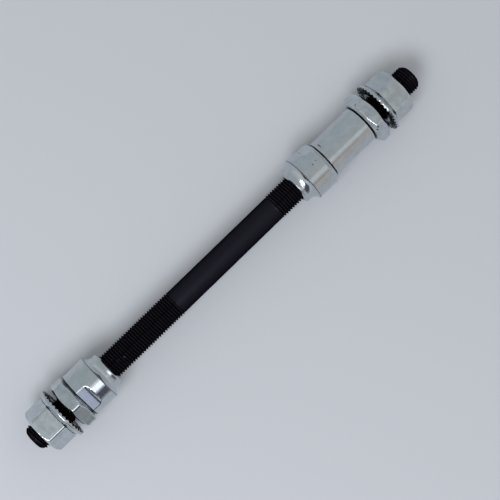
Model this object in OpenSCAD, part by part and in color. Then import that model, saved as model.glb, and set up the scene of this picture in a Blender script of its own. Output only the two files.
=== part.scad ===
// Solid rear hub axle with cones, locknuts, spacer and captive-washer nuts.
// Millimetres. The axis is X, with the drive side at +X. The origin is on the
// axis, half way along the axle, and +Z is up as the set lies.
// Turned profiles are lists of [radius, height], turned about Z and then laid
// along X. Height 0 is a piece's outer end, or the inner face of a locknut.

/* [Axle] */
// Length of the axle from tip to tip
axle_len = 175; // [165:1:190]
// Outside diameter of the axle's thread
thread_d = 9.5; // [9:0.1:9.6]
// Advance of a nut for one turn
thread_pitch = 0.9769; // [0.8:0.01:1.1]
// Depth of the thread, from crest to root
thread_depth = 0.6; // [0.5:0.01:0.62]
// Length of the thread at each end
thread_len = 65.3; // [60:0.5:72]
// Diameter of the plain middle of the axle
shank_d = 8.85; // [8.2:0.05:8.9]
// Length of the lead-in cone at each tip
tip_len = 1.7; // [1:0.1:2.2]
// Diameter of the flat at each tip
tip_d = 5.4; // [4:0.1:7]

/* [Spacing] */
// Distance between the outer faces of the two locknuts
over_locknuts = 140.8; // [130:0.1:142]
// Distance from the left tip to the left locknut's outer face
left_reach = 15.6; // [15:0.1:20]
// Slot left for the left dropout plate
left_gap = 2.1; // [2.1:0.1:3]
// Slot left for the right dropout plate
right_gap = 2.1; // [2.1:0.1:4]
// Radial clearance of a threaded bore on the axle
thread_clearance = 0.05; // [0.02:0.01:0.09]
// Radial clearance of the spacer's plain bore on the axle
spacer_clearance = 0.2; // [0.1:0.05:0.3]

/* [Cones] */
// Diameter of a cone's body
cone_d = 16.9; // [16.4:0.1:18]
// Length of a cone from its outer end to its nose
cone_len = 13.6; // [13:0.1:16]
// Length of the cylindrical body behind the ball track
cone_body_len = 9.1; // [8.5:0.1:9.5]
// Diameter of the nose
cone_nose_d = 12.6; // [12.2:0.1:13]
// Radius of the ball track's section
track_r = 3.4; // [3.3:0.05:3.7]
// Length of the nose's end bevel
nose_bevel = 0.5; // [0.3:0.1:0.6]
// Distance across the two wrench flats
cone_flats = 14.5; // [14:0.1:15]
// Length of the wrench flats
cone_flat_len = 3.2; // [3:0.1:4.5]
// Edge bevel at the left cone's outer end
left_cone_bevel = 0.25; // [0.15:0.05:0.5]
// Length of the bevel at the right cone's outer end
right_cone_bevel_len = 1.5; // [1:0.1:2]
// Depth of the bevel at the right cone's outer end
right_cone_bevel = 1; // [0.5:0.1:1.1]
// Turn of the left cone's flats about the axle
left_cone_turn = 21.5; // [0:0.5:180]
// Turn of the right cone's flats about the axle
right_cone_turn = -68; // [-90:0.5:90]

/* [Spacer] */
// Outside diameter of the drive side spacer
spacer_d = 13.7; // [13:0.1:14.5]
// Length of the drive side spacer
spacer_len = 18.2; // [14:0.1:19]
// Edge bevel of the spacer
spacer_bevel = 0.3; // [0.1:0.05:0.4]

/* [Locknuts] */
// Distance across the flats of a locknut
locknut_flats = 17; // [16.8:0.1:17.5]
// Thickness of a locknut
locknut_t = 5.2; // [4.8:0.1:5.5]
// Diameter over the trimmed corners of a locknut
locknut_corner_d = 19.5; // [19.4:0.05:19.6]
// Diameter of the narrow face of a locknut
locknut_narrow_d = 14; // [13.4:0.1:15]
// Diameter of the wide face of a locknut
locknut_wide_d = 16; // [15.2:0.1:16.6]
// Slope of a locknut's corner bevels, in degrees
locknut_slope = 30; // [25:1:32]
// Turn of the left locknut about the axle
left_locknut_turn = 12; // [0:0.5:60]
// Turn of the right locknut about the axle
right_locknut_turn = 27; // [0:0.5:60]

/* [Captive washers] */
// Outside diameter of a washer
washer_d = 19.2; // [18.6:0.1:19.4]
// Thickness of a washer over its teeth
washer_t = 2.2; // [2.1:0.1:2.8]
// Diameter of the seat that faces the nut
washer_seat_d = 15.8; // [15.4:0.1:16.4]
// Length of the bevel from the seat to the rim
washer_bevel_len = 1.2; // [1:0.1:1.4]
// Number of radial teeth on the gripping face
tooth_count = 36; // [24:1:40]
// Depth of the grooves between the teeth
tooth_depth = 0.45; // [0.3:0.05:0.5]
// Width of a groove at the teeth's tips
groove_w = 1.1; // [0.8:0.05:1.15]
// Diameter where the teeth begin
tooth_start_d = 13.8; // [13.4:0.1:14.4]
// Mouth diameter of the 45 degree countersink that holds the nut's lip
countersink_d = 13; // [12.9:0.1:13.2]

/* [Axle nuts] */
// Distance across the flats of an axle nut
nut_flats = 15; // [14.6:0.1:15.4]
// Height of the hexagon of an axle nut
nut_h = 8; // [7:0.1:9]
// Height of the domed outer end
dome_h = 2; // [1.5:0.1:2.6]
// Diameter of the flat on the domed end
dome_flat_d = 11.2; // [10.6:0.1:12]
// Diameter of the face that bears on the washer
nut_seat_d = 14.7; // [13.8:0.1:14.8]
// Diameter of the neck that carries the washer
neck_d = 11.4; // [11:0.1:11.5]
// Diameter of the lip rolled over the washer
lip_d = 12.4; // [12.2:0.05:12.5]
// Radial clearance of the washer on the neck
neck_clearance = 0.08; // [0.05:0.01:0.1]
// End play of the washer between the nut and its lip
washer_play = 0.1; // [0.05:0.01:0.15]
// Turn of the left nut about the axle
left_nut_turn = 27; // [0:0.5:60]
// Turn of the right nut about the axle
right_nut_turn = -20.5; // [-60:0.5:0]

/* [Hidden] */
$fn = 96;
plated = [0.66, 0.69, 0.71];
black_steel = [0.09, 0.09, 0.11];
axle_end = axle_len / 2;
thread_r = thread_d / 2;
bore_r = thread_r + thread_clearance;
bore_bevel = 0.4 * thread_pitch;
thread_turns = floor((thread_len - tip_len) / thread_pitch);
flank_len = thread_depth * tan(30);
thread_runout = 0.5 * thread_pitch;
edge_bevel = 0.15;
left_lock_x = left_reach - axle_end;
right_lock_x = left_lock_x + over_locknuts;
left_cone_x = left_lock_x + locknut_t;
right_spacer_x = right_lock_x - locknut_t;
right_cone_x = right_spacer_x - spacer_len;
left_grip_x = left_lock_x - left_gap;
right_grip_x = right_lock_x + right_gap;
washer_bore_r = neck_d / 2 + neck_clearance;
countersink_depth = countersink_d / 2 - washer_bore_r;
locknut_slope_rise = tan(locknut_slope);
past = 1;

// Points on a circle or an ellipse, from one angle to another
function arc(centre, rx, ry, from, to, steps) =
    [for (i = [0 : steps])
        let (a = from + (to - from) * i / steps)
            [centre[0] + rx * cos(a), centre[1] + ry * sin(a)]];

// Lays a piece with height 0 at x. That end faces -X, or +X where facing is 1
module lay(x, turn, facing) {
    translate([x, 0, 0])
        mirror([facing > 0 ? 1 : 0, 0, 0])
            rotate([0, 90, 0])
                rotate([0, 0, turn])
                    children();
}

// A bore along Z with a bevelled mouth at both ends
module tapped_bore(length, radius) {
    rotate_extrude()
        polygon([[0, -past],
                 [radius + bore_bevel + past, -past],
                 [radius, bore_bevel],
                 [radius, length - bore_bevel],
                 [radius + bore_bevel + past, length + past],
                 [0, length + past]]);
}

// A hexagonal prism along Z
module hexagon(flats, height) {
    cylinder(h = height, d = flats / cos(30), $fn = 6);
}

// A bearing cone, from its outer end at height 0 to its nose
module cone_blank(bevel, bevel_len) {
    body_r = cone_d / 2;
    nose_r = cone_nose_d / 2;
    drop = nose_r + track_r - body_r;
    track_end = cone_body_len + sqrt(track_r * track_r - drop * drop);
    start_angle = 180 + atan2(track_end - cone_body_len, drop);
    difference() {
        rotate_extrude()
            polygon(concat(
                [[0, 0],
                 [body_r - bevel, 0],
                 [body_r, bevel_len]],
                arc([nose_r + track_r, track_end], track_r, track_r, start_angle, 180, 12),
                [[nose_r, cone_len - nose_bevel],
                 [nose_r - 2 * nose_bevel, cone_len],
                 [0, cone_len]]));
        tapped_bore(cone_len, bore_r);
        for (side = [0, 180])
            rotate([0, 0, side])
                wrench_flat(body_r);
    }
}

// The metal milled away for one wrench flat, with its sloping shoulder
module wrench_flat(body_r) {
    depth = body_r + past - cone_flats / 2;
    rotate([90, 0, 0])
        translate([0, 0, -body_r])
            linear_extrude(height = 2 * body_r)
                polygon([[cone_flats / 2, -past],
                         [cone_flats / 2 + depth, -past],
                         [cone_flats / 2 + depth, cone_flat_len + depth],
                         [cone_flats / 2, cone_flat_len]]);
}

// A thin locknut with its narrow face at height 0
module locknut_blank() {
    corner_r = locknut_corner_d / 2;
    narrow_r = locknut_narrow_d / 2;
    wide_r = locknut_wide_d / 2;
    difference() {
        intersection() {
            hexagon(locknut_flats, locknut_t);
            rotate_extrude()
                polygon([[0, 0],
                         [narrow_r, 0],
                         [corner_r, (corner_r - narrow_r) * locknut_slope_rise],
                         [corner_r, locknut_t - (corner_r - wide_r) * locknut_slope_rise],
                         [wide_r, locknut_t],
                         [0, locknut_t]]);
        }
        tapped_bore(locknut_t, bore_r);
    }
}

// A captive washer with its nut seat at height 0 and its teeth on top
module washer_blank() {
    rim_r = washer_d / 2;
    difference() {
        rotate_extrude()
            polygon([[washer_bore_r, 0],
                     [washer_seat_d / 2, 0],
                     [rim_r, washer_bevel_len],
                     [rim_r, washer_t],
                     [countersink_d / 2, washer_t],
                     [washer_bore_r, washer_t - countersink_depth]]);
        for (i = [0 : tooth_count - 1])
            rotate([0, 0, 360 * (i + 0.5) / tooth_count])
                tooth_groove();
    }
}

// One V-shaped groove, cut outwards through the washer's rim
module tooth_groove() {
    translate([tooth_start_d / 2, 0, washer_t])
        rotate([90, 0, 90])
            linear_extrude(height = washer_d)
                polygon([[-groove_w / 2, 0],
                         [0, -tooth_depth],
                         [groove_w / 2, 0],
                         [groove_w / 2, past],
                         [-groove_w / 2, past]]);
}

// An axle nut with its domed end at height 0 and its lipped neck on top
module axle_nut_blank() {
    corner_r = nut_flats / 2 / cos(30);
    seat_r = nut_seat_d / 2;
    flat_r = dome_flat_d / 2;
    neck_r = neck_d / 2;
    lip_rise = (lip_d - neck_d) / 2;
    neck_end = nut_h + washer_play + washer_t - countersink_depth + washer_play + lip_rise;
    difference() {
        union() {
            intersection() {
                hexagon(nut_flats, nut_h);
                rotate_extrude()
                    polygon(concat(
                        [[0, 0]],
                        arc([flat_r, dome_h], corner_r - flat_r, dome_h, -90, 0, 8),
                        [[corner_r, nut_h - (corner_r - seat_r) / 2],
                         [seat_r, nut_h],
                         [0, nut_h]]));
            }
            rotate_extrude()
                polygon([[0, nut_h - past],
                         [neck_r, nut_h - past],
                         [neck_r, neck_end - lip_rise],
                         [lip_d / 2, neck_end],
                         [0, neck_end]]);
        }
        tapped_bore(neck_end, bore_r);
    }
}

// One end of the axle as [radius, height] points, from its tip inwards. The
// thread's grooves are rings of its own section and pitch, without the helix.
function axle_half() = concat(
    [[0, -axle_end],
     [tip_d / 2, -axle_end],
     [thread_r, tip_len - axle_end]],
    [for (i = [1 : thread_turns])
        let (root = tip_len - axle_end + (i - 0.5) * thread_pitch)
            each [[thread_r, root - flank_len],
                  [thread_r - thread_depth, root],
                  [thread_r, root + flank_len]]],
    [[thread_r, thread_len - axle_end],
     [shank_d / 2, thread_len - axle_end + thread_runout]]);

// The same points for the other end, in order from the middle outwards
function mirrored(points) =
    [for (i = [len(points) - 1 : -1 : 0])
        [points[i][0], -points[i][1]]];

module axle() {
    half = axle_half();
    color(black_steel)
        rotate([0, 90, 0])
            rotate_extrude()
                polygon(concat(half, mirrored(half)));
}

module left_cone() {
    color(plated)
        lay(left_cone_x, left_cone_turn, -1)
            cone_blank(left_cone_bevel, left_cone_bevel);
}

module left_locknut() {
    color(plated)
        lay(left_cone_x, left_locknut_turn, 1)
            locknut_blank();
}

module left_washer() {
    color(plated)
        lay(left_grip_x - washer_t, 0, -1)
            washer_blank();
}

module left_axle_nut() {
    color(plated)
        lay(left_grip_x - washer_t - washer_play - nut_h, left_nut_turn, -1)
            axle_nut_blank();
}

module right_cone() {
    color(plated)
        lay(right_cone_x, right_cone_turn, 1)
            cone_blank(right_cone_bevel, right_cone_bevel_len);
}

module right_spacer() {
    spacer_r = spacer_d / 2;
    inner_r = thread_r + spacer_clearance;
    color(plated)
        translate([right_cone_x, 0, 0])
            rotate([0, 90, 0])
                rotate_extrude()
                    polygon([[inner_r, edge_bevel],
                             [inner_r + edge_bevel, 0],
                             [spacer_r - spacer_bevel, 0],
                             [spacer_r, spacer_bevel],
                             [spacer_r, spacer_len - spacer_bevel],
                             [spacer_r - spacer_bevel, spacer_len],
                             [inner_r + edge_bevel, spacer_len],
                             [inner_r, spacer_len - edge_bevel]]);
}

module right_locknut() {
    color(plated)
        lay(right_spacer_x, right_locknut_turn, -1)
            locknut_blank();
}

module right_washer() {
    color(plated)
        lay(right_grip_x + washer_t, 0, 1)
            washer_blank();
}

module right_axle_nut() {
    color(plated)
        lay(right_grip_x + washer_t + washer_play + nut_h, right_nut_turn, 1)
            axle_nut_blank();
}

axle();
left_cone();
left_locknut();
left_washer();
left_axle_nut();
right_cone();
right_spacer();
right_locknut();
right_washer();
right_axle_nut();
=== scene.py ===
import math

import bmesh
import bpy
import numpy as np
from mathutils import Matrix, Vector


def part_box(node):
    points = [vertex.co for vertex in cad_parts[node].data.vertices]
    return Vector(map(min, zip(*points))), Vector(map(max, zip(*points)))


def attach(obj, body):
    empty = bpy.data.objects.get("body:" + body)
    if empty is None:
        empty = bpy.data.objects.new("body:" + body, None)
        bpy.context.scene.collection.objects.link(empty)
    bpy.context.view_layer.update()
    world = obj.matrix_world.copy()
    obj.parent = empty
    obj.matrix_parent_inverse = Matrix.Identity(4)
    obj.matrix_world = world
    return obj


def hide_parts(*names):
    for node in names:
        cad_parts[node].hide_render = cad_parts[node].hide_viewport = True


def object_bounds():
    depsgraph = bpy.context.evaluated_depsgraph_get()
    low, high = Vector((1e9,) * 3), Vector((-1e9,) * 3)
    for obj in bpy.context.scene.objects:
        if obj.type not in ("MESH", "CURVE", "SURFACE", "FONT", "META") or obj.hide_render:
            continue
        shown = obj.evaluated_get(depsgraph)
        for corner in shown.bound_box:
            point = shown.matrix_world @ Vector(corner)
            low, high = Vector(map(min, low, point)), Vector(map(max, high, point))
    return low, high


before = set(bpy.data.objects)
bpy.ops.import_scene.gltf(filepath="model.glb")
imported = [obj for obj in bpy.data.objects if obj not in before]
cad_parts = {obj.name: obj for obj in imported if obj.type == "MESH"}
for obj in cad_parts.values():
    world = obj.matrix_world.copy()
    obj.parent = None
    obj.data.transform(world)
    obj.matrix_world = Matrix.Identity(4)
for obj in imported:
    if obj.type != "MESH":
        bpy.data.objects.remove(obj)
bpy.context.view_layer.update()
print("frame loaded:", len(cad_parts), "solids")

mm = 0.001
weldDistance = 0.002 * mm


# helpers for colour and nodes

def hexToLinear(code):
    channels = [int(code[i:i + 2], 16) / 255 for i in (1, 3, 5)]
    linear = [c / 12.92 if c <= 0.04045 else ((c + 0.055) / 1.055) ** 2.4 for c in channels]
    return (*linear, 1.0)


def addNode(tree, kind, settings=None, links=None):
    node = tree.nodes.new(kind)
    for name, value in (settings or {}).items():
        if isinstance(name, int) or name in node.inputs:
            node.inputs[name].default_value = value
        else:
            setattr(node, name, value)
    for name, source in (links or {}).items():
        tree.links.new(source, node.inputs[name])
    return node


# helpers for shapes
# A profile is a list of (x, radius) in mm. Angles turn about +X, from straight
# up towards the near side, so a right-hand thread moves along +X as they grow.

def softMin(a, b, blend):
    overlap = np.maximum(blend - np.abs(a - b), 0) / blend
    return np.minimum(a, b) - overlap ** 2 * blend / 4


def rounded(points, radius, closed=True, steps=4, almostStraight=0.96):
    points = [np.array(p, float) for p in points]
    result = []
    for i, corner in enumerate(points):
        if not closed and i in (0, len(points) - 1):
            result.append(corner)
            continue
        back = points[i - 1] - corner
        ahead = points[(i + 1) % len(points)] - corner
        backLength, aheadLength = np.linalg.norm(back), np.linalg.norm(ahead)
        straightness = -np.dot(back, ahead) / (backLength * aheadLength)
        if straightness > almostStraight:
            result.append(corner)
            continue
        reach = min(radius, 0.45 * backLength, 0.45 * aheadLength)
        start = corner + back / backLength * reach
        end = corner + ahead / aheadLength * reach
        for t in np.linspace(0, 1, steps + 1):
            result.append((1 - t) ** 2 * start + 2 * t * (1 - t) * corner + t * t * end)
    return result


def divided(points, step, closed=True):
    result = []
    count = len(points)
    for i in range(count if closed else count - 1):
        a, b = np.array(points[i]), np.array(points[(i + 1) % count])
        parts = max(1, math.ceil(np.linalg.norm(b - a) / step))
        result += [a + (b - a) * k / parts for k in range(parts)]
    if not closed:
        result.append(np.array(points[-1]))
    return result


def thinned(profile, keptRadius, every=8):
    # fewer rings in the bore, where nothing shows
    return profile[(profile[:, 1] > keptRadius) | (np.arange(len(profile)) % every == 0)]


def placeRings(x, radius, angle):
    return np.stack([x, -radius * np.sin(angle), radius * np.cos(angle)], -1) * mm


def makePiece(name, rings, body, node, closed=True, sharpAngle=32):
    rows, columns = rings.shape[:2]
    index = np.arange(rows * columns).reshape(rows, columns)
    near = index if closed else index[:-1]
    far = np.roll(index, -1, 0) if closed else index[1:]
    quads = np.stack([near, np.roll(near, -1, 1), np.roll(far, -1, 1), far], -1)
    mesh = bpy.data.meshes.new(name)
    mesh.from_pydata(rings.reshape(-1, 3).tolist(), [], quads.reshape(-1, 4).tolist())
    work = bmesh.new()
    work.from_mesh(mesh)
    bmesh.ops.remove_doubles(work, verts=work.verts, dist=weldDistance)
    bmesh.ops.recalc_face_normals(work, faces=work.faces)
    limit = math.radians(sharpAngle)
    for edge in work.edges:
        edge.smooth = len(edge.link_faces) == 2 and edge.calc_face_angle(0) < limit
    for face in work.faces:
        face.smooth = True
    work.to_mesh(mesh)
    work.free()
    piece = bpy.data.objects.new(name, mesh)
    bpy.context.scene.collection.objects.link(piece)
    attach(piece, body)
    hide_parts(node)
    print("made", name, len(mesh.polygons), "faces")
    return piece


def hexLimit(angle, flats, turn, cornerBlend):
    fromFlat = np.mod(angle - math.radians(turn), math.radians(60)) - math.radians(30)
    nearest = flats / 2 / np.cos(fromFlat)
    nextOne = flats / 2 / np.cos(math.radians(60) - np.abs(fromFlat))
    return softMin(nearest, nextOne, cornerBlend)


def evenAngles(count, turn=0):
    return math.radians(turn) + np.arange(count) * 2 * math.pi / count


def ends(node):
    low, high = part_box(node)
    return low.x / mm, high.x / mm


# axle: steel rod with rolled threads

axleSizes = {
    "threadRadius": 4.75,
    "rootRadius": 4.15,
    "shankRadius": 4.425,
    "pitch": 0.9769,          # 26 threads per inch
    "threadLength": 65.3,
    "runOut": 1.2,            # the thread fades into the plain shank
    "tipRadius": 2.7,
    "tipLength": 1.7,
    "threadSides": 88,
    "sharpAngle": 70,
}


def threadShape(phase, flat=0.08):
    # rolled 60 degree form with a narrow flat at root and crest, 0 at the root and 1 at the crest
    wave = 1 - 2 * np.abs(np.mod(phase, 1) - 0.5)
    return np.clip((wave - flat) / (1 - 2 * flat), 0, 1)


def makeAxle():
    sizes = axleSizes
    left, right = ends("axle")
    angle = evenAngles(sizes["threadSides"])
    pitch = sizes["pitch"]
    phases = [0, 0.1, 0.25, 0.4, 0.5, 0.6, 0.75, 0.9]

    def threadRings(start, end, shankEnd):
        turns = math.ceil((end - start) / pitch) + 1
        lead = np.array([k + p for k in range(-1, turns) for p in phases])
        x = start + (lead[:, None] + angle[None, :] / (2 * math.pi)) * pitch
        form = threadShape(lead)[:, None]
        x = np.clip(x, start, end)
        depth = sizes["threadRadius"] - sizes["rootRadius"]
        radius = sizes["rootRadius"] + depth * form
        fade = np.clip(np.abs(x - shankEnd) / sizes["runOut"], 0, 1)
        radius = sizes["shankRadius"] + (radius - sizes["shankRadius"]) * fade
        fromTip = np.minimum(x - left, right - x)
        cone = sizes["tipRadius"] + (sizes["threadRadius"] - sizes["tipRadius"]) \
            * np.sqrt(np.clip(fromTip / sizes["tipLength"], 0, 1))
        return placeRings(x, np.minimum(radius, cone), np.broadcast_to(angle, x.shape))

    leftEnd = left + sizes["threadLength"]
    rightStart = right - sizes["threadLength"]
    tipStart = placeRings(np.full(angle.shape, left), np.zeros(angle.shape), angle)
    tipEnd = placeRings(np.full(angle.shape, right), np.zeros(angle.shape), angle)
    rings = np.concatenate([
        tipStart[None],
        threadRings(left, leftEnd, leftEnd),
        threadRings(rightStart, right, rightStart),
        tipEnd[None],
    ])
    return makePiece("axle_rod", rings, "axle_set", "axle",
                     closed=False, sharpAngle=sizes["sharpAngle"])


# bearing cones: turned, hardened and plated

coneSizes = {
    "bodyRadius": 8.45,
    "noseRadius": 6.3,
    "bodyLength": 9.1,
    "trackRadius": 3.4,       # takes a quarter inch ball
    "noseBevel": 0.5,
    "flats": 14.5,
    "flatLength": 3.2,
    "cutterRadius": 1.7,      # radius left by the milling cutter at the flat's end
    "boreRadius": 4.8,
    "boreBevel": 0.4,
    "edge": 0.12,
    "flatBlend": 0.08,
    "step": 0.2,              # longest stretch between two rings
    "sides": 384,
}
leftCone = {"node": "left_cone", "turn": 21.5, "bevel": 0.25, "bevelLength": 0.25, "outward": -1}
rightCone = {"node": "right_cone", "turn": -68, "bevel": 1.0, "bevelLength": 1.5, "outward": 1}


def makeCone(cone):
    sizes = coneSizes
    low, high = ends(cone["node"])
    length = high - low
    body, nose, track = sizes["bodyRadius"], sizes["noseRadius"], sizes["trackRadius"]
    drop = nose + track - body
    trackEnd = sizes["bodyLength"] + math.sqrt(track ** 2 - drop ** 2)
    trackStart = math.atan2(-(trackEnd - sizes["bodyLength"]), -drop)
    trackArc = [(trackEnd + track * math.sin(a), nose + track + track * math.cos(a))
                for a in np.linspace(trackStart, -math.pi, 20)]
    bore, bevel = sizes["boreRadius"], sizes["boreBevel"]
    outer = rounded([
        (0, bore + bevel),
        (0, body - cone["bevel"]),
        (cone["bevelLength"], body),
        *trackArc,
        (length - sizes["noseBevel"], nose),
        (length, nose - 2 * sizes["noseBevel"]),
        (length, bore + bevel),
        (length - bevel, bore),
        (bevel, bore),
    ], sizes["edge"])
    profile = thinned(np.array(divided(outer, sizes["step"])), bore + 0.01)
    angle = evenAngles(sizes["sides"], cone["turn"])
    along = np.broadcast_to(profile[:, :1], (len(profile), len(angle)))
    radius = np.broadcast_to(profile[:, 1:], along.shape)
    cutter = sizes["cutterRadius"]
    into = np.clip(along - sizes["flatLength"], 0, cutter * 0.999)
    flat = sizes["flats"] / 2 + cutter - np.sqrt(cutter ** 2 - into ** 2)
    facing = np.maximum(np.abs(np.cos(angle - math.radians(cone["turn"])))[None, :], 0.1)
    radius = softMin(radius, flat / facing, sizes["flatBlend"])
    x = low + along if cone["outward"] < 0 else high - along
    rings = placeRings(x, radius, np.broadcast_to(angle, x.shape))
    return makePiece(cone["node"] + "_turned", rings, "axle_set", cone["node"])


# drive side spacer: a plain tube

spacerSizes = {
    "radius": 6.85,
    "boreRadius": 4.95,
    "bevel": 0.3,
    "edge": 0.1,
    "step": 1.0,
    "sides": 192,
}


def makeSpacer():
    sizes = spacerSizes
    low, high = ends("right_spacer")
    bevel = sizes["bevel"]
    profile = np.array(divided(rounded([
        (low, sizes["boreRadius"]),
        (low, sizes["radius"] - bevel),
        (low + bevel, sizes["radius"]),
        (high - bevel, sizes["radius"]),
        (high, sizes["radius"] - bevel),
        (high, sizes["boreRadius"]),
    ], sizes["edge"]), sizes["step"]))
    angle = evenAngles(sizes["sides"])
    x = np.broadcast_to(profile[:, :1], (len(profile), len(angle)))
    rings = placeRings(x, np.broadcast_to(profile[:, 1:], x.shape), np.broadcast_to(angle, x.shape))
    return makePiece("right_spacer_tube", rings, "axle_set", "right_spacer")


# locknuts: thin hexagons with turned bevels on both faces

locknutSizes = {
    "flats": 17.0,
    "cornerRadius": 9.75,
    "innerRadius": {"left_locknut": 7.6, "right_locknut": 7.0},  # the face inside the set
    "outerRadius": 8.0,
    "slope": 30,
    "boreRadius": 4.8,
    "boreBevel": 0.4,
    "edge": 0.14,
    "cornerBlend": 0.6,
    "bevelBlend": 0.35,
    "step": 0.16,
    "sides": 480,
}


def makeLocknut(node, turn, outward):
    sizes = locknutSizes
    low, high = ends(node)
    length = high - low
    rise = math.tan(math.radians(sizes["slope"]))
    corner, bore, bevel = sizes["cornerRadius"], sizes["boreRadius"], sizes["boreBevel"]
    inner, outer = sizes["innerRadius"][node], sizes["outerRadius"]
    profile = divided(rounded([
        (bevel, bore),
        (0, bore + bevel),
        (0, inner),
        ((corner - inner) * rise, corner),
        (length - (corner - outer) * rise, corner),
        (length, outer),
        (length, bore + bevel),
        (length - bevel, bore),
    ], sizes["edge"]), sizes["step"])
    profile = thinned(np.array(profile), bore + 1.2)
    angle = evenAngles(sizes["sides"], turn)
    along = np.broadcast_to(profile[:, :1], (len(profile), len(angle)))
    limit = hexLimit(angle, sizes["flats"], turn, sizes["cornerBlend"])[None, :]
    radius = softMin(np.broadcast_to(profile[:, 1:], along.shape), limit, sizes["bevelBlend"])
    x = high - along if outward < 0 else low + along
    rings = placeRings(x, radius, np.broadcast_to(angle, x.shape))
    return makePiece(node + "_hex", rings, "axle_set", node)


# captive washers: pressed teeth on the face that grips the frame

washerSizes = {
    "rimRadius": 9.6,
    "boreRadius": 5.78,
    "seatRadius": 7.9,
    "bevelLength": 1.2,
    "countersinkRadius": 6.5,
    "toothStart": 6.9,
    "teeth": 36,
    "toothDepth": 0.45,
    "toothRim": 9.45,         # the rim narrows a little over the teeth
    "rimTaper": 0.05,
    "taperLength": 0.25,
    "grooveWidth": 1.1,
    "edge": 0.12,
    "step": 0.5,
    "stepsPerTooth": 16,
    "sharpAngle": 24,
}


def makeWasher(node, body, outward):
    sizes = washerSizes
    low, high = ends(node)
    thick = high - low
    rim, bore, sink = sizes["rimRadius"], sizes["boreRadius"], sizes["countersinkRadius"]
    taper = sizes["rimTaper"]
    back = rounded([
        (thick - (sink - bore), bore),
        (0, bore),
        (0, sizes["seatRadius"]),
        (sizes["bevelLength"], rim),
        (thick - sizes["toothDepth"] - sizes["taperLength"], rim),
        (thick - sizes["toothDepth"] - taper, rim - taper),
    ], sizes["edge"], closed=False)
    face = [(thick, r) for r in np.linspace(sizes["toothRim"], sizes["toothStart"], 10)]
    profile = np.array(divided(back, sizes["step"], closed=False) + face + [(thick, sink)])
    angle = evenAngles(sizes["teeth"] * sizes["stepsPerTooth"])
    along = np.broadcast_to(profile[:, :1], (len(profile), len(angle)))
    radius = np.broadcast_to(profile[:, 1:], along.shape)
    toothAngle = 2 * math.pi / sizes["teeth"]
    across = (np.mod(angle, toothAngle) - toothAngle / 2)[None, :] * radius
    groove = np.clip(1 - np.abs(across) / (sizes["grooveWidth"] / 2), 0, 1)
    onFace = (along > thick - 0.01) & (radius >= sizes["toothStart"] - 0.01)
    along = along - np.where(onFace, groove * sizes["toothDepth"], 0)
    x = low + along if outward < 0 else high - along
    rings = placeRings(x, radius, np.broadcast_to(angle, x.shape))
    return makePiece(node + "_serrated", rings, body, node,
                     sharpAngle=sizes["sharpAngle"])


# axle nuts: forged hexagons with a domed end and a rolled neck

nutSizes = {
    "flats": 15.0,
    "hexLength": 8.0,
    "domeLength": 2.0,
    "domeFlatRadius": 5.6,
    "seatRadius": 8.3,
    "neckRadius": 5.7,
    "lipRadius": 6.2,
    "boreRadius": 4.8,
    "boreBevel": 0.4,
    "edge": 0.12,
    "cornerBlend": 0.6,
    "bevelBlend": 0.05,
    "step": 0.3,
    "sides": 480,
}


def makeNut(node, body, turn, outward):
    sizes = nutSizes
    low, high = ends(node)
    length, hexEnd = high - low, sizes["hexLength"]
    corner = sizes["flats"] / 2 / math.cos(math.radians(30))
    flat, dome = sizes["domeFlatRadius"], sizes["domeLength"]
    bore, bevel = sizes["boreRadius"], sizes["boreBevel"]
    domeArc = [(dome - dome * math.cos(a), flat + (corner - flat) * math.sin(a))
               for a in np.linspace(0, math.pi / 2, 18)]
    lipRise = sizes["lipRadius"] - sizes["neckRadius"]
    profile = divided(rounded([
        (bevel, bore),
        (0, bore + bevel),
        *domeArc,
        (hexEnd - (corner - sizes["seatRadius"]) / 2, corner),
        (hexEnd, sizes["seatRadius"]),
        (hexEnd, sizes["neckRadius"]),
        (length - lipRise, sizes["neckRadius"]),
        (length, sizes["lipRadius"]),
        (length, bore + bevel),
        (length - bevel, bore),
    ], sizes["edge"]), sizes["step"])
    profile = thinned(np.array(profile), bore + 0.3)
    angle = evenAngles(sizes["sides"], turn)
    along = np.broadcast_to(profile[:, :1], (len(profile), len(angle)))
    limit = hexLimit(angle, sizes["flats"], turn, sizes["cornerBlend"])[None, :]
    radius = softMin(np.broadcast_to(profile[:, 1:], along.shape), limit, sizes["bevelBlend"])
    x = low + along if outward < 0 else high - along
    rings = placeRings(x, radius, np.broadcast_to(angle, x.shape))
    return makePiece(node + "_hex", rings, body, node)


# materials

blackOxide = {
    # Black oxide on cold-rolled steel: a hot alkaline bath turns the skin to magnetite.
    # The eye sees near black with a faint blue cast; the thread is painted darker towards its roots as
    # painted shade.
    "name": "blackOxideSteel",
    "color": "#26252d",
    "paintedRootShade": "#1a191e",   # painted shade: the roots of the thread are painted darker
    "paintedCrestHighlight": "#34323a",  # painted highlight: the crests of the thread are painted a little brighter, standing in for the light they catch
    "roughness": 0.5,
    "grainMm": 0.35,
    "grainDepth": 0.01,
    "edgeTint": "#55555c",    # the oily oxide mirrors little at a low angle
    # grains of dust, as x, angle, radius, size and squash along the axle
    "dust": [(-50.5, -16, 4.55, 0.3, 1.0), (-49.35, 6, 4.55, 0.34, 1.0), (-47.2, 14, 4.55, 0.32, 1.0)],
}
zincPlate = {
    # Bright zinc plate over turned or forged steel: a thin bluish grey metal skin that
    # keeps the tool marks of the part below, so highlights break into fine rings.
    "color": "#c2c8cc",
    "roughness": 0.13,
    "ringMm": 0.12,           # feed of the lathe tool between rings, drawn coarser than life
    "ringDepth": 0.004,
    "cloudMm": 2.5,           # size of the cloudy patches left by barrel plating
    "cloudDepth": 0.03,
    "fineMm": 0.3,            # grain of the plating, drawn coarser than life
}
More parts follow.
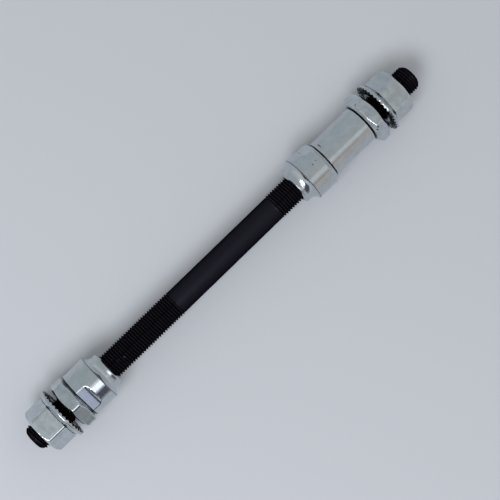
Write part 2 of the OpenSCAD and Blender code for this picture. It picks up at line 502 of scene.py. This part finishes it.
# dirt specks and dust, and the near-black colour of painted shade for joints, seams, edges and teeth
dirtAndPaintedShade = {
    "paintedShade": "#0c0b0d",
    "shadeRaggedMm": 0.6,       # size of the waves along a patch's border
    "shadeFadeMm": 0.12,        # width over which a patch thins out
    "speck": "#3a3838",
    "dust": "#c9c6c3",
}


def objectCoordinates(tree):
    place = addNode(tree, "ShaderNodeTexCoord").outputs["Object"]
    return addNode(tree, "ShaderNodeVectorMath", {"operation": "SCALE", "Scale": 1 / mm},
                   {0: place}).outputs[0]


def alongAndRadius(tree, place):
    parts = addNode(tree, "ShaderNodeSeparateXYZ", None, {0: place}).outputs
    flatPart = addNode(tree, "ShaderNodeCombineXYZ", None, {"Y": parts["Y"], "Z": parts["Z"]})
    radius = addNode(tree, "ShaderNodeVectorMath", {"operation": "LENGTH"},
                     {0: flatPart.outputs[0]}).outputs["Value"]
    return parts["X"], radius


def newMaterial(name):
    material = bpy.data.materials.new(name)
    material.use_nodes = True
    material.node_tree.nodes.clear()
    return material, material.node_tree


def addMark(tree, place, colour, mark, shade=dirtAndPaintedShade["speck"]):
    # a small nick, speck of dirt or grain of dust at one place on the surface
    x, angle, radius, size, squash = mark
    turn = math.radians(angle)
    spot = (x, -radius * math.sin(turn), radius * math.cos(turn))
    away = addNode(tree, "ShaderNodeVectorMath", {"operation": "SUBTRACT", 1: spot}, {0: place})
    thin = addNode(tree, "ShaderNodeVectorMath", {"operation": "MULTIPLY", 1: (squash, 1, 1)},
                   {0: away.outputs[0]})
    reach = addNode(tree, "ShaderNodeVectorMath", {"operation": "LENGTH"}, {0: thin.outputs[0]})
    mask = addNode(tree, "ShaderNodeMapRange",
                   {"From Min": 0.4 * size, "From Max": size, "To Min": 1.0, "To Max": 0.0},
                   {"Value": reach.outputs["Value"]})
    return addNode(tree, "ShaderNodeMix",
                   {"data_type": "RGBA", 7: hexToLinear(shade)},
                   {0: mask.outputs[0], 6: colour}).outputs[2]


def addPaintedShade(tree, place, colour, patch):
    # painted shade: near-black colour laid into a joint, along a sharp edge, or between the teeth of a
    # washer, where shade falls
    x, halfWidth, outerRadius, wander = patch
    along, radius = alongAndRadius(tree, place)
    ragged = addNode(tree, "ShaderNodeTexNoise",
                     {"Scale": 1 / dirtAndPaintedShade["shadeRaggedMm"], "Detail": 3.0}, {"Vector": place})
    offset = addNode(tree, "ShaderNodeMath",
                     {"operation": "MULTIPLY_ADD", 1: 2 * wander, 2: -wander - x},
                     {0: ragged.outputs[0]})
    away = addNode(tree, "ShaderNodeMath", {"operation": "ADD"}, {0: along, 1: offset.outputs[0]})
    distance = addNode(tree, "ShaderNodeMath", {"operation": "ABSOLUTE"}, {0: away.outputs[0]})
    near = addNode(tree, "ShaderNodeMapRange",
                   {"From Min": halfWidth, "From Max": halfWidth + dirtAndPaintedShade["shadeFadeMm"],
                    "To Min": 1.0, "To Max": 0.0},
                   {"Value": distance.outputs[0]})
    inside = addNode(tree, "ShaderNodeMapRange",
                     {"From Min": outerRadius - 0.1, "From Max": outerRadius,
                      "To Min": 1.0, "To Max": 0.0},
                     {"Value": radius})
    mask = addNode(tree, "ShaderNodeMath", {"operation": "MULTIPLY"},
                   {0: near.outputs[0], 1: inside.outputs[0]})
    return addNode(tree, "ShaderNodeMix",
                   {"data_type": "RGBA", 7: hexToLinear(dirtAndPaintedShade["paintedShade"])},
                   {0: mask.outputs[0], 6: colour}).outputs[2]


def zincMaterial(name, ringStrength, cloudStrength, mottle, marks=(), paintedShade=()):
    material, tree = newMaterial(name)
    place = objectCoordinates(tree)
    along, radius = alongAndRadius(tree, place)
    ringPlace = addNode(tree, "ShaderNodeCombineXYZ", None, {"X": along, "Y": radius}).outputs[0]
    rings = addNode(tree, "ShaderNodeTexNoise",
                    {"Scale": 1 / zincPlate["ringMm"], "Detail": 2.0}, {"Vector": ringPlace})
    clouds = addNode(tree, "ShaderNodeTexNoise",
                     {"Scale": 1 / zincPlate["cloudMm"], "Detail": 5.0, "Roughness": 0.6},
                     {"Vector": place})
    fine = addNode(tree, "ShaderNodeTexNoise",
                   {"Scale": 1 / zincPlate["fineMm"], "Detail": 3.0}, {"Vector": place})
    tone = addNode(tree, "ShaderNodeMapRange",
                   {"From Min": 0.3, "From Max": 0.7, "To Min": 1 - mottle, "To Max": 1 + mottle},
                   {"Value": clouds.outputs[0]})
    colour = addNode(tree, "ShaderNodeVectorMath",
                     {"operation": "SCALE", 0: hexToLinear(zincPlate["color"])[:3]},
                     {"Scale": tone.outputs[0]}).outputs[0]
    for mark in marks:
        colour = addMark(tree, place, colour, mark)
    # painted shade in the joints, seams, edges and teeth
    for patch in paintedShade:
        colour = addPaintedShade(tree, place, colour, patch)
    gloss = addNode(tree, "ShaderNodeMapRange",
                    {"From Min": 0.3, "From Max": 0.7,
                     "To Min": zincPlate["roughness"] - 0.05, "To Max": zincPlate["roughness"] + 0.08},
                    {"Value": fine.outputs[0]})
    ringBump = addNode(tree, "ShaderNodeBump",
                       {"Strength": ringStrength, "Distance": zincPlate["ringDepth"] * mm},
                       {"Height": rings.outputs[0]})
    cloudBump = addNode(tree, "ShaderNodeBump",
                        {"Strength": cloudStrength, "Distance": zincPlate["cloudDepth"] * mm},
                        {"Height": clouds.outputs[0], "Normal": ringBump.outputs[0]})
    shader = addNode(tree, "ShaderNodeBsdfPrincipled", {"Metallic": 1.0},
                     {"Base Color": colour, "Roughness": gloss.outputs[0],
                      "Normal": cloudBump.outputs[0]})
    addNode(tree, "ShaderNodeOutputMaterial", None, {"Surface": shader.outputs[0]})
    return material


def blackMaterial():
    material, tree = newMaterial(blackOxide["name"])
    place = objectCoordinates(tree)
    along, radius = alongAndRadius(tree, place)
    # painted shade: darker from the shank's radius down to the root of the thread
    depth = addNode(tree, "ShaderNodeMapRange",
                    {"From Min": axleSizes["rootRadius"], "From Max": axleSizes["shankRadius"]},
                    {"Value": radius})
    grain = addNode(tree, "ShaderNodeTexNoise",
                    {"Scale": 1 / blackOxide["grainMm"], "Detail": 3.0}, {"Vector": place})
    colour = addNode(tree, "ShaderNodeMix",
                     {"data_type": "RGBA", 6: hexToLinear(blackOxide["paintedRootShade"]),
                      7: hexToLinear(blackOxide["color"])},
                     {0: depth.outputs[0]}).outputs[2]
    # painted highlight: the colour turns lighter over the last 0.2 mm up to the crest
    crest = addNode(tree, "ShaderNodeMapRange",
                    {"From Min": axleSizes["threadRadius"] - 0.2,
                     "From Max": axleSizes["threadRadius"] - 0.03},
                    {"Value": radius})
    colour = addNode(tree, "ShaderNodeMix",
                     {"data_type": "RGBA", 7: hexToLinear(blackOxide["paintedCrestHighlight"])},
                     {0: crest.outputs[0], 6: colour}).outputs[2]
    for speck in blackOxide["dust"]:
        colour = addMark(tree, place, colour, speck, dirtAndPaintedShade["dust"])
    gloss = addNode(tree, "ShaderNodeMapRange",
                    {"From Min": 0.3, "From Max": 0.7,
                     "To Min": blackOxide["roughness"] - 0.08, "To Max": blackOxide["roughness"] + 0.1},
                    {"Value": grain.outputs[0]})
    bump = addNode(tree, "ShaderNodeBump",
                   {"Strength": 0.25, "Distance": blackOxide["grainDepth"] * mm},
                   {"Height": grain.outputs[0]})
    shader = addNode(tree, "ShaderNodeBsdfPrincipled",
                     {"Metallic": 1.0, "Specular Tint": hexToLinear(blackOxide["edgeTint"])},
                     {"Base Color": colour, "Roughness": gloss.outputs[0], "Normal": bump.outputs[0]})
    addNode(tree, "ShaderNodeOutputMaterial", None, {"Surface": shader.outputs[0]})
    return material


# floor, light and camera

floorSettings = {"color": "#c4c6ca", "roughness": 0.6, "shine": 0.2, "size": 1.6}
# flat lamps above the set, facing down, as x, y, size in x, size in y, strength and colour
lampHeight = 0.90
lampSettings = {
    "sweep": (-0.66, -0.22, 0.55, 0.60, 8.6, "#f4f7ff"),
    "window": (-0.125, -0.466, 0.19, 0.50, 1.35, "#ffffff"),
    "fringe": (-0.18, -0.14, 0.30, 0.152, 0.45, "#ffffff"),
    "top": (-0.25, 0.045, 0.18, 0.21, 0.16, "#f2f7ff"),
    "side": (0.42, -0.587, 0.70, 0.446, 0.22, "#f2f5ff"),
}
skySettings = {
    "far": "#b3bcc0",
    "near": "#bcbcbb",
    "ends": "#d6d7d6",        # towards both ends of the axle, where no side reflects it
    "low": "#9fa5a7",         # the foot of the wall on the near left
    "dark": "#565763",        # a dark thing that stands before that wall
    "lilac": "#c4cae3",       # the sky along its upper edge
    "warm": "#c2bdbb",        # a warm wall on the near right
    "ledge": "#9a9898",       # a ledge above that wall
    "doorway": "#b0b5b8",     # a duller wall beyond the right end
    "strength": 1.0,
    "bandFade": 0.03,
    "nearFade": 0.2,
}
# where each band lies, as X from, X to, Z from, Z to and Y to of its direction
skyBands = {
    "low": (-0.5, -0.005, -0.02, 0.13, -0.3),
    "dark": (-0.85, -0.005, 0.16, 0.67, -0.3),
    "lilac": (-0.5, -0.005, 0.70, 0.76, -0.3),
    "warm": (0.03, 0.24, -0.02, 0.53, -0.3),
    "ledge": (0.03, 0.16, 0.55, 0.61, -0.3),
    "doorway": (0.80, 1.10, -0.02, 0.60, 1.0),
}
cameraSettings = {
    "place": (-0.0297, -0.0027, 0.463),
    "target": (0.0071, -0.00455, 0.0),
    "axleAngle": 44.2,        # the axle rises this much to the right in the picture
    "fieldOfView": 20.3,
}


def makeFloor():
    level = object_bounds()[0][2]
    half = floorSettings["size"] / 2
    mesh = bpy.data.meshes.new("floor")
    mesh.from_pydata([(-half, -half, level), (half, -half, level),
                      (half, half, level), (-half, half, level)], [], [(0, 1, 2, 3)])
    floor = bpy.data.objects.new("floor", mesh)
    bpy.context.scene.collection.objects.link(floor)
    # Matt painted board: sprayed enamel, which gives a broad soft sheen and no mirror.
    material, tree = newMaterial("paleTabletop")
    shader = addNode(tree, "ShaderNodeBsdfPrincipled",
                     {"Base Color": hexToLinear(floorSettings["color"]),
                      "Roughness": floorSettings["roughness"],
                      "Specular IOR Level": floorSettings["shine"]})
    addNode(tree, "ShaderNodeOutputMaterial", None, {"Surface": shader.outputs[0]})
    mesh.materials.append(material)


def makeLamps():
    for name, (x, y, width, depth, strength, color) in lampSettings.items():
        data = bpy.data.lights.new(name, "AREA")
        data.shape = "RECTANGLE"
        data.size, data.size_y = width, depth
        data.color = hexToLinear(color)[:3]
        # power that makes the lamp's face this bright
        data.energy = strength * math.pi * width * depth
        lamp = bpy.data.objects.new(name, data)
        lamp.location = (x, y, lampHeight)
        bpy.context.scene.collection.objects.link(lamp)


def addBand(tree, value, low, high, soft):
    # 1 between low and high, falling to 0 over soft on either side
    rise = addNode(tree, "ShaderNodeMapRange",
                   {"From Min": low - soft, "From Max": low}, {"Value": value})
    fall = addNode(tree, "ShaderNodeMapRange",
                   {"From Min": high, "From Max": high + soft, "To Min": 1.0, "To Max": 0.0},
                   {"Value": value})
    return addNode(tree, "ShaderNodeMath", {"operation": "MULTIPLY"},
                   {0: rise.outputs[0], 1: fall.outputs[0]}).outputs[0]


def makeSky():
    world = bpy.data.worlds.new("studio")
    bpy.context.scene.world = world
    world.use_nodes = True
    tree = world.node_tree
    tree.nodes.clear()
    direction = addNode(tree, "ShaderNodeTexCoord").outputs["Generated"]
    parts = addNode(tree, "ShaderNodeSeparateXYZ", None, {0: direction}).outputs
    across = addNode(tree, "ShaderNodeMapRange",
                     {"From Min": -0.8, "From Max": 0.8}, {"Value": parts["Y"]})
    colour = addNode(tree, "ShaderNodeMix",
                     {"data_type": "RGBA", 6: hexToLinear(skySettings["near"]),
                      7: hexToLinear(skySettings["far"])},
                     {0: across.outputs[0]}).outputs[2]
    sideways = addNode(tree, "ShaderNodeMath", {"operation": "ABSOLUTE"}, {0: parts["X"]})
    toEnds = addNode(tree, "ShaderNodeMapRange",
                     {"From Min": 0.2, "From Max": 0.75}, {"Value": sideways.outputs[0]})
    colour = addNode(tree, "ShaderNodeMix",
                     {"data_type": "RGBA", 7: hexToLinear(skySettings["ends"])},
                     {0: toEnds.outputs[0], 6: colour}).outputs[2]
    for name, (start, end, low, high, far) in skyBands.items():
        fade = skySettings["bandFade"]
        place = addNode(tree, "ShaderNodeMath", {"operation": "MULTIPLY"},
                        {0: addBand(tree, parts["X"], start, end, fade),
                         1: addBand(tree, parts["Y"], -2, far, skySettings["nearFade"])})
        mask = addNode(tree, "ShaderNodeMath", {"operation": "MULTIPLY"},
                       {0: place.outputs[0], 1: addBand(tree, parts["Z"], low, high, fade)})
        colour = addNode(tree, "ShaderNodeMix",
                         {"data_type": "RGBA", 7: hexToLinear(skySettings[name])},
                         {0: mask.outputs[0], 6: colour}).outputs[2]
    glow = addNode(tree, "ShaderNodeBackground", {"Strength": skySettings["strength"]},
                   {"Color": colour})
    addNode(tree, "ShaderNodeOutputWorld", None, {"Surface": glow.outputs[0]})


def makeCamera():
    data = bpy.data.cameras.new("camera")
    data.angle = math.radians(cameraSettings["fieldOfView"])
    camera = bpy.data.objects.new("camera", data)
    place, target = Vector(cameraSettings["place"]), Vector(cameraSettings["target"])
    turn = math.radians(cameraSettings["axleAngle"])
    back = (place - target).normalized()
    up = Vector((math.sin(turn), math.cos(turn), 0))
    right = up.cross(back).normalized()
    up = back.cross(right)
    camera.matrix_world = Matrix.Translation(place) @ Matrix((right, up, back)).transposed().to_4x4()
    data.clip_start, data.clip_end = 0.01, 10
    bpy.context.scene.collection.objects.link(camera)
    bpy.context.scene.camera = camera


# build

print("building pieces")
# painted shade in the joints, seams, edges and teeth, as x, half width, outer radius and wander
# painted shade in the grooves where the locknuts, cones and spacer meet
leftJoint = (ends("left_cone")[0] + 0.27, 0.15, 8.6, 0.08)
locknutJoint = (ends("left_locknut")[1] - 0.14, 0.06, 7.6, 0.05)
rightJoint = (ends("right_spacer")[0] + 0.12, 0.28, 7.9, 0.15)
spacerJoint = (ends("right_locknut")[0] + 0.1, 0.2, 7.5, 0.5)
# painted shade between the washers' teeth, facing the shaded slot beside each locknut
leftTeeth = (ends("left_washer")[1] - 0.4, 0.35, 9.5, 0.4)
rightTeeth = (ends("right_washer")[0] + 0.4, 0.35, 9.5, 0.4)
# painted shade in the seam between each axle nut and its washer
leftSeam = (ends("left_washer")[0] - 0.05, 0.1, 7.8, 0.05)
rightSeam = (ends("right_washer")[1] + 0.05, 0.1, 7.8, 0.05)
# painted shade along the edge where each cone's body meets its track
leftEdge = (ends("left_cone")[0] + coneSizes["bodyLength"], 0.02, 8.6, 0.05)
rightEdge = (ends("right_cone")[1] - coneSizes["bodyLength"], 0.02, 8.6, 0.05)
# strengths of the lathe rings, of the clouds' relief and of their tone, then nicks and painted shade
turnedSteel = zincMaterial("turnedZincPlate", 0.5, 0.15, 0.07, [
    (40.9, -9, 8.45, 0.3, 1.0),
    (42.5, -11, 8.45, 0.25, 1.0),
], [leftJoint, rightJoint, leftEdge, rightEdge])
forgedSteel = zincMaterial("forgedZincPlate", 0.12, 0.5, 0.16, [
    (65.2, -38, 9.0, 0.6, 1.0),
    (65.4, 30, 9.25, 0.6, 1.0),
    (64.8, 37, 8.8, 0.5, 1.0),
], [locknutJoint, spacerJoint, leftSeam, rightSeam])
pressedSteel = zincMaterial("pressedZincPlate", 0.2, 0.4, 0.1, [],
                            [leftTeeth, rightTeeth, leftSeam, rightSeam])
tubeSteel = zincMaterial("drawnZincPlate", 0.35, 0.15, 0.07, [
    (47.3, -39, 6.85, 1.3, 5.0),
], [rightJoint, spacerJoint])
blackSteel = blackMaterial()
finishes = [
    (makeAxle(), blackSteel),
    (makeCone(leftCone), turnedSteel),
    (makeCone(rightCone), turnedSteel),
    (makeSpacer(), tubeSteel),
    (makeLocknut("left_locknut", 12, -1), forgedSteel),
    (makeLocknut("right_locknut", 27, 1), forgedSteel),
    (makeWasher("left_washer", "left_washer_body", -1), pressedSteel),
    (makeWasher("right_washer", "right_washer_body", 1), pressedSteel),
    (makeNut("left_axle_nut", "left_nut_body", 27, -1), forgedSteel),
    (makeNut("right_axle_nut", "right_nut_body", -20.5, 1), forgedSteel),
]
for piece, material in finishes:
    piece.data.materials.append(material)
# the plain solids behind the pieces carry the same finishes
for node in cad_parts.values():
    finish = blackSteel if node.name == "axle" else turnedSteel
    node.data.materials.clear()
    node.data.materials.append(finish)

print("setting the stage")
makeFloor()
makeLamps()
makeSky()
makeCamera()
bpy.context.scene.view_settings.view_transform = "Standard"
